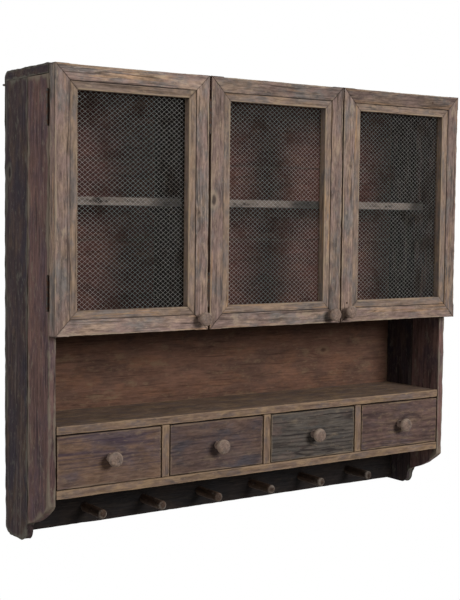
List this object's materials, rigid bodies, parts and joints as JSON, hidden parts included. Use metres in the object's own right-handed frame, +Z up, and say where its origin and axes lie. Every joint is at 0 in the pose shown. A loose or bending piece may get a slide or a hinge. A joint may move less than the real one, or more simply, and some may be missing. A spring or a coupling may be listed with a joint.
{
  "type": "kitchen wall cabinet",
  "caption": "Rustic reclaimed-wood wall cabinet with wire-mesh doors, an open niche, a row of small drawers and a peg rail below.",
  "frame": {"origin": "on the wall plane, midway between the two hanging eyes and at their height", "axes": "+X to the viewer's right along the width, +Y into the wall, so the doors face -Y, +Z up"},
  "size_m": [1.0098, 0.255, 0.893],
  "materials": {
    "side_front_wood": "matte",
    "side_rear_wood": "matte",
    "case_wood": "matte",
    "shelf_wood": "matte",
    "back_wood": "matte",
    "rail_wood": "matte",
    "door_wood": "matte",
    "bead_wood": "matte",
    "drawer_wood": "matte",
    "drawer_box_wood": "matte",
    "knob_wood": "matte",
    "wire_mesh": "satin",
    "dark_iron": "matte"
  },
  "bodies": {
    "carcass": {"left_side_front_board": "side_front_wood", "right_side_front_board": "side_front_wood", "left_side_rear_board": "side_rear_wood", "right_side_rear_board": "side_rear_wood", "top_board": "side_rear_wood", "cabinet_floor": "case_wood", "partition": "case_wood", "left_shelf": "case_wood", "right_shelf": "case_wood", "shelf_cleats": "case_wood", "drawer_shelf": "shelf_wood", "drawer_deck": "shelf_wood", "drawer_dividers": "shelf_wood", "back_boards": "back_wood", "peg_rail": "rail_wood", "pegs": "knob_wood", "hanging_eyes": "dark_iron", "case_hinge_leaves": "dark_iron", "hinge_pins": "dark_iron", "case_hinge_screws": "dark_iron"},
    "door_left": {"door_left_stiles": "door_wood", "door_left_rails": "door_wood", "door_left_beads": "bead_wood", "door_left_mesh": "wire_mesh", "door_left_mesh_strips": "bead_wood", "door_left_knob": "knob_wood", "door_left_hinge_leaves": "dark_iron", "door_left_hinge_screws": "dark_iron"},
    "door_middle": {"door_middle_stiles": "door_wood", "door_middle_rails": "door_wood", "door_middle_beads": "bead_wood", "door_middle_mesh": "wire_mesh", "door_middle_mesh_strips": "bead_wood", "door_middle_knob": "knob_wood", "door_middle_hinge_leaves": "dark_iron", "door_middle_hinge_screws": "dark_iron"},
    "door_right": {"door_right_stiles": "door_wood", "door_right_rails": "door_wood", "door_right_beads": "bead_wood", "door_right_mesh": "wire_mesh", "door_right_mesh_strips": "bead_wood", "door_right_knob": "knob_wood", "door_right_hinge_leaves": "dark_iron", "door_right_hinge_screws": "dark_iron"},
    "drawer_1": {"drawer_1_front": "drawer_wood", "drawer_1_box": "drawer_box_wood", "drawer_1_bottom": "drawer_box_wood", "drawer_1_knob": "knob_wood"},
    "drawer_2": {"drawer_2_front": "drawer_wood", "drawer_2_box": "drawer_box_wood", "drawer_2_bottom": "drawer_box_wood", "drawer_2_knob": "knob_wood"},
    "drawer_3": {"drawer_3_front": "drawer_wood", "drawer_3_box": "drawer_box_wood", "drawer_3_bottom": "drawer_box_wood", "drawer_3_knob": "knob_wood"},
    "drawer_4": {"drawer_4_front": "drawer_wood", "drawer_4_box": "drawer_box_wood", "drawer_4_bottom": "drawer_box_wood", "drawer_4_knob": "knob_wood"}
  },
  "joints": [
    {"name": "left_door_hinge", "type": "hinge", "parent": "carcass", "child": "door_left", "pos_m": [-0.5026, -0.186, -0.2225], "axis": [0, 0, -1], "range_deg": [0, 160]},
    {"name": "middle_door_hinge", "type": "hinge", "parent": "carcass", "child": "door_middle", "pos_m": [-0.16693, -0.2105, -0.2225], "axis": [0, 0, -1], "range_deg": [0, 90]},
    {"name": "right_door_hinge", "type": "hinge", "parent": "carcass", "child": "door_right", "pos_m": [0.5026, -0.186, -0.2225], "axis": [0, 0, 1], "range_deg": [0, 160]},
    {"name": "drawer_1_slide", "type": "slide", "parent": "carcass", "child": "drawer_1", "axis": [0, -1, 0], "range_m": [0, 0.12]},
    {"name": "drawer_2_slide", "type": "slide", "parent": "carcass", "child": "drawer_2", "axis": [0, -1, 0], "range_m": [0, 0.12]},
    {"name": "drawer_3_slide", "type": "slide", "parent": "carcass", "child": "drawer_3", "axis": [0, -1, 0], "range_m": [0, 0.12]},
    {"name": "drawer_4_slide", "type": "slide", "parent": "carcass", "child": "drawer_4", "axis": [0, -1, 0], "range_m": [0, 0.12]}
  ]
}
